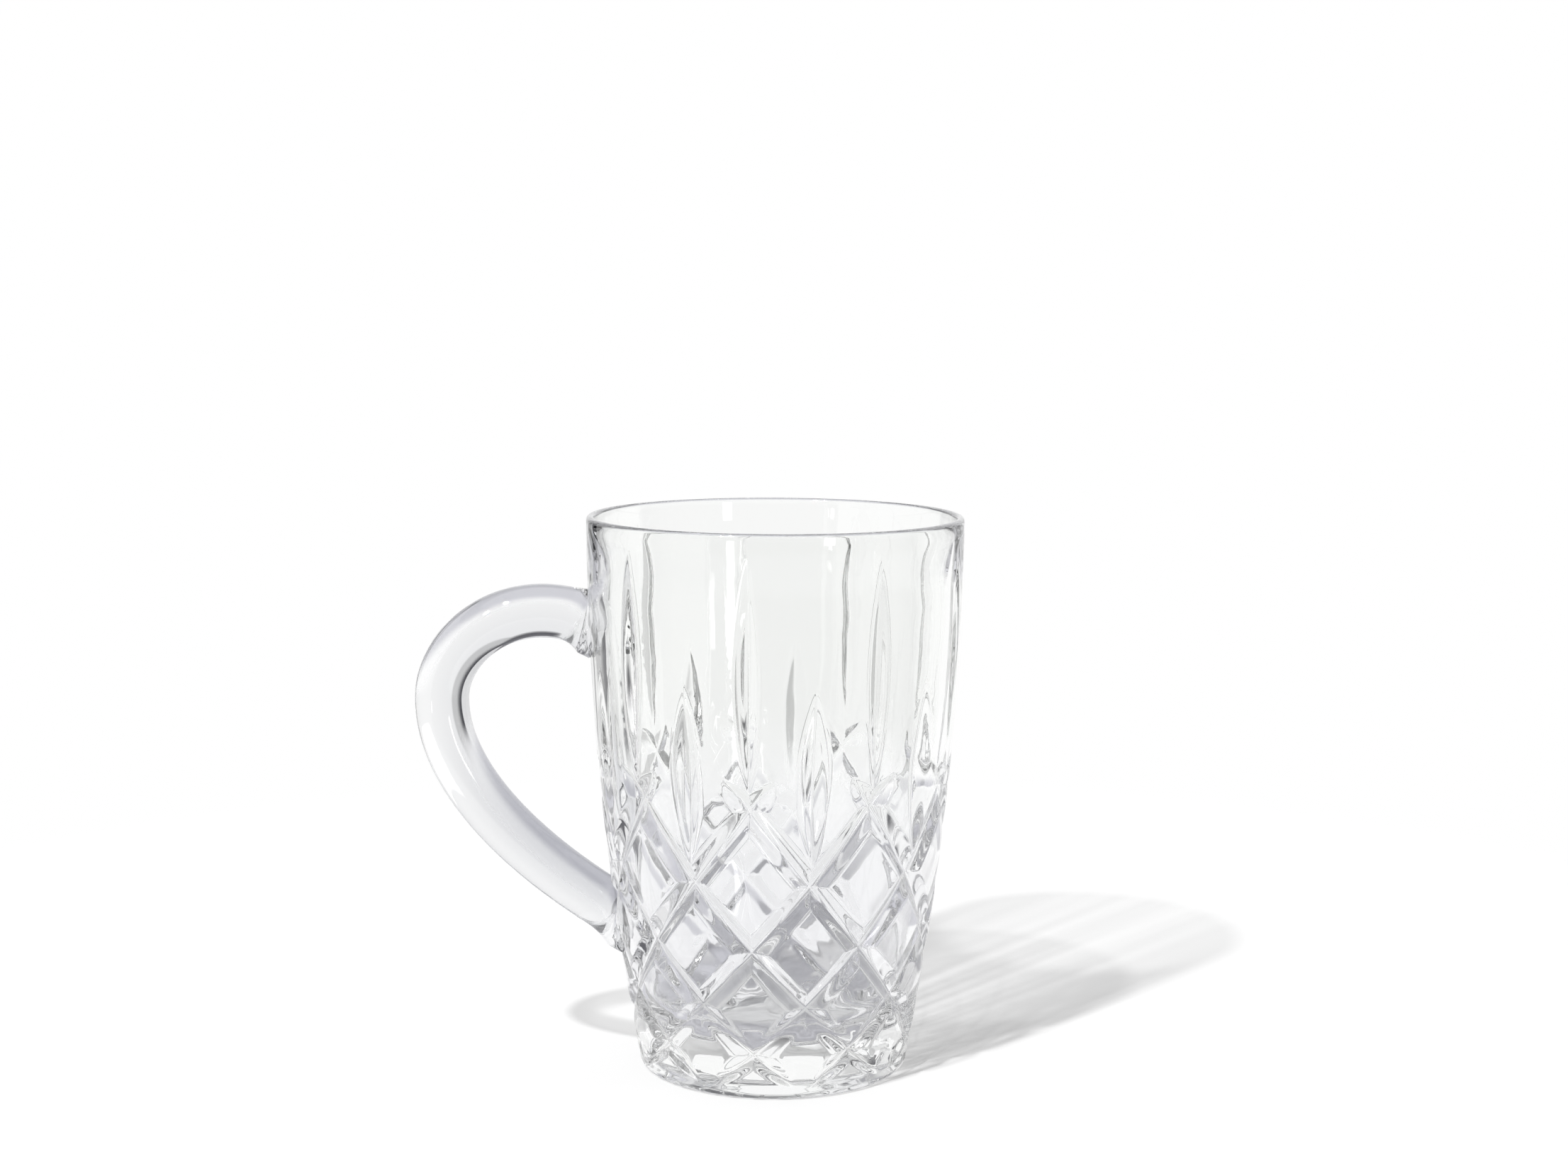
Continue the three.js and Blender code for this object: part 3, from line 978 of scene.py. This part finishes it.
@dataclass
class LoopHandle:
    """The handle: a round rod over a crest and a belly to a long tail, spread at both joints."""

    cup: CutCup
    finish: GlassFinish
    rod_diameter: float = 11.8 * MM
    finger_gap: float = 25.7 * MM
    upper_joint_below_rim: float = 24.8 * MM
    lower_joint_height: float = 31.2 * MM
    belly_below_rim: float = 40.5 * MM
    upper_joint_tilt: float = math.radians(29.0)
    lower_joint_tilt: float = math.radians(29.5)
    crest_rounding: float = 21.0 * MM
    shoulder_rounding: float = 13.5 * MM
    belly_rounding: float = 21.0 * MM
    tail_straightness: float = 20.5 * MM
    flare_rise: float = 1.7 * MM
    flare_length: float = 6.0 * MM
    seat_gap: float = 0.02 * MM
    seat_reach: tuple[float, float] = (0.12, 0.85)
    seat_rounds: int = 40
    path_samples: int = 400
    rod_sides: int = 72
    rod_rings: int = 150
    cap_rings: int = 8
    # Painted shade: share of the deep tint along the crest, rising to full in the tail.
    crest_painted_shade: float = 0.38
    tail_rise: tuple[float, float] = (0.42, 0.75)
    inner_side: tuple[float, float] = (-0.7, 0.5)

    def centreline(self) -> np.ndarray:
        """Points along the middle of the rod, from inside the wall at the upper joint to the lower one.

        Returns:
            An array of points at even spacing.
        """
        form = self.cup.form
        upper_z = form.height - self.upper_joint_below_rim
        upper = Vector((-form.inner_radius(upper_z), 0.0, upper_z))
        lower = Vector((-form.inner_radius(self.lower_joint_height), 0.0, self.lower_joint_height))
        belly_x = form.rim_radius + self.finger_gap + self.rod_diameter / 2.0
        belly = Vector((-belly_x, 0.0, form.height - self.belly_below_rim))
        leaving = Vector((-math.cos(self.upper_joint_tilt), 0.0, math.sin(self.upper_joint_tilt)))
        arriving = Vector((math.cos(self.lower_joint_tilt), 0.0, -math.sin(self.lower_joint_tilt)))
        up = Vector((0.0, 0.0, 1.0))
        crest = (upper, upper + leaving * self.crest_rounding, belly + up * self.shoulder_rounding, belly)
        tail = (belly, belly - up * self.belly_rounding, lower - arriving * self.tail_straightness, lower)
        shares = np.linspace(0.0, 1.0, self.path_samples)
        raw = [bezier(crest, s) for s in shares] + [bezier(tail, s) for s in shares[1:]]
        line = np.array([tuple(p) for p in raw])
        run = np.concatenate(([0.0], np.cumsum(np.linalg.norm(np.diff(line, axis=0), axis=1))))
        even = np.linspace(0.0, run[-1], 2 * self.path_samples)
        return np.stack([np.interp(even, run, line[:, axis]) for axis in range(3)], axis=1)

    def rod_point(self, line: np.ndarray, share: np.ndarray, turn: np.ndarray) -> np.ndarray:
        """Points on the rod's skin.

        Args:
            line: Centreline at even spacing.
            share: Places along the centreline, from 0 to 1.
            turn: Angles round the rod.

        Returns:
            The points, one for each place and angle.
        """
        places = np.linspace(0.0, 1.0, len(line))
        step = 1.0 / len(line)

        def on_line(place: np.ndarray) -> np.ndarray:
            """Points of the centreline."""
            return np.stack([np.interp(place, places, line[:, axis]) for axis in range(3)], axis=-1)

        centre = on_line(share)
        along = on_line(share + step) - on_line(share - step)
        along /= np.linalg.norm(along, axis=-1, keepdims=True)
        side = np.array((0.0, 1.0, 0.0))
        out = np.cross(np.broadcast_to(side, along.shape), along)
        length = np.linalg.norm(np.diff(line, axis=0), axis=1).sum()
        to_wall = np.minimum(share, 1.0 - share) * length - self.cup.form.wall_below_lip
        spread = np.clip(1.0 - to_wall / self.flare_length, 0.0, 1.0)
        radius = (self.rod_diameter / 2.0 + self.flare_rise * spread**2)[..., None]
        return centre + radius * (np.cos(turn)[..., None] * out + np.sin(turn)[..., None] * side)

    def painted_handle_shade(self, line: np.ndarray, points: np.ndarray) -> np.ndarray:
        """Painted shade on the handle: darker along the inner side of the loop, and darkest in the tail.

        Args:
            line: Centreline at even spacing.
            points: Points of the handle.

        Returns:
            One value from 0 to 1 for each point.
        """
        flat = points[:, ::2]
        track = line[:, ::2]
        near = np.array([np.argmin(((track - point) ** 2).sum(axis=1)) for point in flat])
        along = np.gradient(track, axis=0)
        along /= np.linalg.norm(along, axis=1, keepdims=True)
        off = flat - track[near]
        inward = (off[:, 1] * along[near, 0] - off[:, 0] * along[near, 1]) / (self.rod_diameter / 2.0)
        share = near / (len(line) - 1)
        most = self.crest_painted_shade + (1.0 - self.crest_painted_shade) * ease(share, *self.tail_rise)
        return most * ease(inward, *self.inner_side)

    def wall_distance(self, point: np.ndarray) -> np.ndarray:
        """How far points stand off the cup's cut wall, measured level with them.

        Args:
            point: Points, with X, Y and Z along the last axis.

        Returns:
            One distance for each point, negative inside the wall.
        """
        angle = np.arctan2(-point[..., 1], -point[..., 0])
        form = self.cup.form
        depth = self.cup.pattern.depth(angle, point[..., 2])
        return np.hypot(point[..., 0], point[..., 1]) - form.outer_radius(point[..., 2]) + depth

    def seat(self, line: np.ndarray, turn: np.ndarray, near: float, far: float) -> np.ndarray:
        """Places along the centreline at which the rod's skin meets the wall.

        Args:
            line: Centreline at even spacing.
            turn: Angles round the rod.
            near: Place inside the wall.
            far: Place clear of the wall.

        Returns:
            One place for each angle.
        """
        inside = np.full_like(turn, near)
        clear = np.full_like(turn, far)
        for _ in range(self.seat_rounds):
            middle = (inside + clear) / 2.0
            off = self.wall_distance(self.rod_point(line, middle, turn)) > self.seat_gap
            clear = np.where(off, middle, clear)
            inside = np.where(off, inside, middle)
        return clear

    def build(self) -> bpy.types.Object:
        """Makes the handle.

        Returns:
            The handle as one closed mesh.
        """
        line = self.centreline()
        turn = np.linspace(0.0, 2.0 * math.pi, self.rod_sides, endpoint=False)
        first, last = (self.seat(line, turn, near, far) for near, far in zip((0.0, 1.0), self.seat_reach))
        shares = np.linspace(0.0, 1.0, self.rod_rings + 1)
        rings = [self.rod_point(line, first + (last - first) * share, turn) for share in shares]
        mesh = bmesh.new()
        loops = [[mesh.verts.new(p) for p in ring] for ring in rings]
        for loop, after in zip(loops, loops[1:]):
            bridge(mesh, loop, after)
        for loop in (loops[0][::-1], loops[-1]):
            self.close_seat(mesh, loop)
        bmesh.ops.recalc_face_normals(mesh, faces=mesh.faces)
        result = take_mesh(mesh, "loop_handle")
        result.shade_smooth()
        set_tint_and_painted_shade(result, self.painted_handle_shade(line, mesh_points(result)))
        result.materials.append(self.finish.build())
        return add_object("loop_handle", result)

    def close_seat(self, mesh: bmesh.types.BMesh, loop: Ring) -> None:
        """Closes an end of the rod with a face that lies on the cut wall.

        Args:
            mesh: Mesh of the handle.
            loop: The rod's last ring.
        """
        centre = sum((v.co for v in loop), Vector()) / len(loop)
        outer = loop
        for ring in range(1, self.cap_rings):
            share = 1.0 - ring / self.cap_rings
            flat = [centre + (vert.co - centre) * share for vert in loop]
            inner = [mesh.verts.new(self.on_seat(point)) for point in flat]
            bridge(mesh, outer, inner)
            outer = inner
        middle = mesh.verts.new(self.on_seat(centre))
        for i in range(len(loop)):
            mesh.faces.new((outer[i], outer[(i + 1) % len(loop)], middle))
        for edge in {e for v in loop for e in v.link_edges if e.other_vert(v) in set(loop)}:
            edge.smooth = False

    def on_seat(self, point: Vector) -> Vector:
        """Moves a point level, towards or away from the axis, on to the seat on the cut wall.

        Args:
            point: Point near the wall.

        Returns:
            The point on the seat.
        """
        off = float(self.wall_distance(np.array(point))) - self.seat_gap
        level = math.hypot(point.x, point.y)
        keep = (level - off) / level
        return Vector((point.x * keep, point.y * keep, point.z))


@dataclass(frozen=True)
class LightPanel:
    """An even patch of light in the room, seen from the glass; angles are in degrees.

    Facing counts from straight behind the glass towards the right.
    """

    facing: float
    half_width: float
    low: float
    high: float
    softness: float
    level: float

    def values(self) -> dict[str, float | tuple[float, ...]]:
        """Inputs of the panel's node group.

        Returns:
            Values by the names of the inputs, with angles in radians.
        """
        angles = {
            "Facing": self.facing,
            "Half Width": self.half_width,
            "Low": self.low,
            "High": self.high,
            "Softness": self.softness,
        }
        turned = {name: math.radians(angle) for name, angle in angles.items()}
        return {**turned, "Light": (self.level, self.level, self.level, 1.0)}


def light_panel_group() -> bpy.types.NodeTree:
    """Makes the node group that lays one panel of light over the room.

    Returns:
        A shader node group from the direction and the light underneath to the light with the panel.
    """
    group = bpy.data.node_groups.new("light_panel", "ShaderNodeTree")
    numbers = ("Azimuth", "Elevation", "Facing", "Half Width", "Low", "High", "Softness")
    add_sockets(group, "INPUT", "NodeSocketFloat", *numbers)
    add_sockets(group, "INPUT", "NodeSocketColor", "Under", "Light")
    add_sockets(group, "OUTPUT", "NodeSocketColor", "Light")
    given = add_node(group, "NodeGroupInput").outputs
    result = add_node(group, "NodeGroupOutput")

    def step(operation: str, first: Socket, second: Socket) -> Socket:
        """Adds a Math node on two outputs.

        Args:
            operation: What the node works out.
            first: Output for its first value.
            second: Output for its second value.

        Returns:
            The node's own output.
        """
        node = add_node(group, "ShaderNodeMath", operation=operation)
        group.links.new(first, node.inputs[0])
        group.links.new(second, node.inputs[1])
        return node.outputs["Value"]

    def ramp(value: Socket, start: Socket, end: Socket) -> Socket:
        """Adds a smooth ramp from 0 to 1.

        Args:
            value: Output to take the ramp of.
            start: Output for the value at which it is 0.
            end: Output for the value at which it is 1.

        Returns:
            The ramp's own output.
        """
        node = add_node(group, "ShaderNodeMapRange", interpolation_type="SMOOTHSTEP")
        for name, source in (("Value", value), ("From Min", start), ("From Max", end)):
            group.links.new(source, node.inputs[name])
        return node.outputs["Result"]

    away = add_node(group, "ShaderNodeMath", {1: math.pi, 2: -math.pi}, operation="WRAP")
    group.links.new(step("SUBTRACT", given["Azimuth"], given["Facing"]), away.inputs[0])
    size = add_node(group, "ShaderNodeMath", operation="ABSOLUTE")
    soft, wide, low, high = (given[name] for name in ("Softness", "Half Width", "Low", "High"))
    beside = ramp(size.outputs["Value"], step("ADD", wide, soft), wide)
    over = ramp(given["Elevation"], step("ADD", high, soft), high)
    under = ramp(given["Elevation"], step("SUBTRACT", low, soft), low)
    mix = add_node(group, "ShaderNodeMixRGB")
    group.links.new(step("MULTIPLY", beside, step("MULTIPLY", over, under)), mix.inputs["Fac"])
    group.links.new(given["Under"], mix.inputs["Color1"])
    group.links.new(given["Light"], mix.inputs["Color2"])
    join(group, (away, "Value", size, 0), (mix, "Color", result, "Light"))
    return group


@dataclass(frozen=True)
class TableTop:
    """A round matt white table with a painted sheen, fading into the room at its rim."""

    radius: float = 0.31
    fade_from: float = 0.20
    drop: float = 0.05 * MM
    sides: int = 96
    shade: Triple = (0.95, 0.95, 0.95)
    # Painted shade: the table's colour seen from steeply above.
    painted_steep_shade: Triple = (0.61, 0.61, 0.65)
    steep_below: float = 0.43
    slant_above: float = 0.64

    def build(self) -> None:
        """Lays the table top, just under the standing face."""
        turns = np.linspace(0.0, 2.0 * math.pi, self.sides, endpoint=False)
        rim = [(self.radius * math.cos(a), self.radius * math.sin(a), -self.drop) for a in turns]
        mesh = bpy.data.meshes.new("table_top")
        mesh.from_pydata(rim, [], [list(range(self.sides))])
        mesh.materials.append(self.finish())
        table = add_object("table_top", mesh)

    def finish(self) -> bpy.types.Material:
        """Makes the table's matt white with a painted sheen, greyer seen steeply and pale at a slant,
        which fades out at the rim.

        Returns:
            The material.
        """
        material, shader = start_material("pale_table", {"Roughness": 1.0, "Specular IOR Level": 0.0})
        tree = material.node_tree
        # Painted sheen: colour by viewing slant, greyer seen steeply and pale at a slant.
        slant = add_node(tree, "ShaderNodeLayerWeight", {"Blend": EVEN_BLEND})
        ends = {"From Min": self.steep_below, "From Max": self.slant_above}
        painted_sheen = add_node(tree, "ShaderNodeMapRange", ends, interpolation_type="SMOOTHSTEP")
        shades = {"Color1": (*self.painted_steep_shade, 1.0), "Color2": (*self.shade, 1.0)}
        colour = add_node(tree, "ShaderNodeMixRGB", shades)
        place = add_node(tree, "ShaderNodeTexCoord")
        away = add_node(tree, "ShaderNodeVectorMath", operation="LENGTH")
        ends = {"From Min": self.fade_from, "From Max": self.radius}
        fade = add_node(tree, "ShaderNodeMapRange", ends, interpolation_type="SMOOTHSTEP")
        clear = add_node(tree, "ShaderNodeBsdfTransparent")
        faded = add_node(tree, "ShaderNodeMixShader")
        join(
            tree,
            (slant, "Facing", painted_sheen, "Value"),
            (painted_sheen, "Result", colour, "Fac"),
            (colour, "Color", shader, "Base Color"),
            (place, "Object", away, 0),
            (away, "Value", fade, "Value"),
            (fade, "Result", faded, "Fac"),
            (shader, "BSDF", faded, 1),
            (clear, "BSDF", faded, 2),
            (faded, "Shader", tree.nodes["Material Output"], "Surface"),
        )
        return material


@dataclass(frozen=True)
class Studio:
    """Two lamps at the front left, and a dim room with panels of light round and over the glass."""

    lamp_strengths: tuple[float, ...] = (2.54, 1.23)
    lamp_ways: tuple[Triple, ...] = ((-0.480, -0.572, 0.665), (-0.348, -0.439, 0.828))
    lamp_size: float = math.radians(2.4)
    matt_share: float = 0.35
    room: Triple = (0.07, 0.07, 0.08)
    panels: tuple[LightPanel, ...] = (
        LightPanel(facing=180.0, half_width=75.0, low=-90.0, high=58.0, softness=25.0, level=0.25),
        LightPanel(facing=0.0, half_width=180.0, low=58.0, high=90.0, softness=6.0, level=1.0),
        LightPanel(facing=-88.0, half_width=47.0, low=-90.0, high=40.0, softness=1.2, level=0.85),
        LightPanel(facing=0.0, half_width=27.0, low=-90.0, high=28.0, softness=10.0, level=0.66),
        LightPanel(facing=45.0, half_width=30.0, low=-90.0, high=45.0, softness=12.0, level=1.0),
        LightPanel(facing=20.0, half_width=38.3, low=-90.0, high=28.0, softness=3.5, level=1.0),
        LightPanel(facing=-140.0, half_width=0.8, low=-12.0, high=-9.5, softness=1.0, level=8.0),
        LightPanel(facing=150.0, half_width=2.5, low=-6.0, high=8.0, softness=1.0, level=7.0),
    )

    def build(self) -> None:
        """Sets up the lamps and the room."""
        self.hang_lamps()
        self.light_room()

    def hang_lamps(self) -> None:
        """Hangs the lamps, each turned to shine from its own side."""
        for strength, way_to in zip(self.lamp_strengths, self.lamp_ways):
            lamp = bpy.data.lights.new("studio_lamp", "SUN")
            lamp.energy = strength
            lamp.angle = self.lamp_size
            stand = add_object("studio_lamp", lamp)
            stand.rotation_mode = "QUATERNION"
            stand.rotation_quaternion = Vector(way_to).to_track_quat("Z", "Y")

    def light_room(self) -> None:
        """Makes the dim room, lays the panels over it in turn, and shows less of both to matt surfaces."""
        world = bpy.data.worlds.new("studio_room")
        bpy.context.scene.world = world
        world.use_nodes = True
        tree = world.node_tree
        way = add_node(tree, "ShaderNodeTexCoord")
        split = add_node(tree, "ShaderNodeSeparateXYZ")
        azimuth = add_node(tree, "ShaderNodeMath", operation="ARCTAN2")
        elevation = add_node(tree, "ShaderNodeMath", operation="ARCSINE")
        join(
            tree,
            (way, "Generated", split, "Vector"),
            (split, "X", azimuth, 0),
            (split, "Y", azimuth, 1),
            (split, "Z", elevation, 0),
        )
        group = light_panel_group()
        lit: bpy.types.Node | None = None
        for panel in self.panels:
            values = {"Under": (*self.room, 1.0), **panel.values()}
            node = add_node(tree, "ShaderNodeGroup", values, node_tree=group)
            join(tree, (azimuth, "Value", node, "Azimuth"), (elevation, "Value", node, "Elevation"))
            if lit is not None:
                join(tree, (lit, "Light", node, "Under"))
            lit = node
        path = add_node(tree, "ShaderNodeLightPath")
        shares = {1: self.matt_share - 1.0, 2: 1.0}
        dimmed = add_node(tree, "ShaderNodeMath", shares, operation="MULTIPLY_ADD")
        background = tree.nodes["Background"]
        join(
            tree,
            (path, "Is Diffuse Ray", dimmed, 0),
            (dimmed, "Value", background, "Strength"),
            (lit, "Light", background, "Color"),
        )


@dataclass(frozen=True)
class PhotoCamera:
    """Camera at the photograph's viewing angle."""

    distance: float = 529.6 * MM
    height: float = 174.3 * MM
    round_axis: float = math.radians(-2.26)
    pitch: float = math.radians(7.36)
    yaw: float = math.radians(0.21)
    roll: float = math.radians(0.29)
    focal_pixels: float = 3446.5
    frame_pixels: int = 2212
    clip: tuple[float, float] = (0.01, 100.0)

    def build(self) -> None:
        """Places the camera and makes it the scene's own."""
        camera = bpy.data.cameras.new("photo_camera")
        camera.sensor_fit = "HORIZONTAL"
        camera.lens = self.focal_pixels * camera.sensor_width / self.frame_pixels
        camera.clip_start, camera.clip_end = self.clip
        forward = Vector((
            math.sin(self.yaw) * math.cos(self.pitch),
            math.cos(self.yaw) * math.cos(self.pitch),
            -math.sin(self.pitch),
        ))
        right = Vector((math.cos(self.yaw), -math.sin(self.yaw), 0.0))
        upright = right.cross(forward)
        level = right * math.cos(self.roll) + upright * math.sin(self.roll)
        top = upright * math.cos(self.roll) - right * math.sin(self.roll)
        turn = Matrix((level, top, -forward)).transposed().to_4x4()
        place = Matrix.Translation((0.0, -self.distance, self.height)) @ turn
        holder = add_object("photo_camera", camera)
        holder.matrix_world = Matrix.Rotation(self.round_axis, 4, "Z") @ place
        bpy.context.scene.camera = holder


def show(piece: bpy.types.Object, node: str) -> None:
    """Puts a finished piece in the frame in place of its plain solid.

    Args:
        piece: The finished piece.
        node: The solid that it stands for.
    """
    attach(piece, "root")
    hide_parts(node)
    piece.data.calc_loop_triangles()
    LOG.info("%s: %d triangles", piece.name, len(piece.data.loop_triangles))


def main() -> None:
    """Builds the glass, its table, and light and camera."""
    logging.basicConfig(level=logging.INFO, format="%(name)s %(message)s")
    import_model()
    low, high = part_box("cup")
    form = CupForm(height=high.z - low.z, rim_radius=min(high.x, high.y))
    # The cup's deep tint is partly glass colour and partly painted shade over the lattice.
    pressed = GlassFinish("pressed_glass", tint=(0.99, 0.996, 0.988), tint_with_painted_shade=(0.94, 0.942, 0.95))
    cup = CutCup(form, CutPattern(form), pressed)
    show(cup.build(), "cup")
    # The handle's deep tint is painted shade, darkest along the inner side of the loop and in the tail.
    drawn = GlassFinish(
        "drawn_glass",
        tint=(0.985, 0.988, 0.99),
        tint_with_painted_shade=(0.63, 0.637, 0.668),
        ripple_height=0.03 * MM,
        shadow_clear=0.30,
        shadow_edge=0.15,
        painted_shadow_light=1.8,
        streak_shade=1.0,
    )
    handle = LoopHandle(cup, drawn)
    show(handle.build(), "handle")
    TableTop().build()
    Studio().build()
    PhotoCamera().build()
    scene = bpy.context.scene
    scene.view_settings.view_transform = "Standard"
    for name, count in BOUNCES.items():
        setattr(scene.cycles, name, count)
    bpy.context.view_layer.update()


if __name__ == "__main__":
    main()
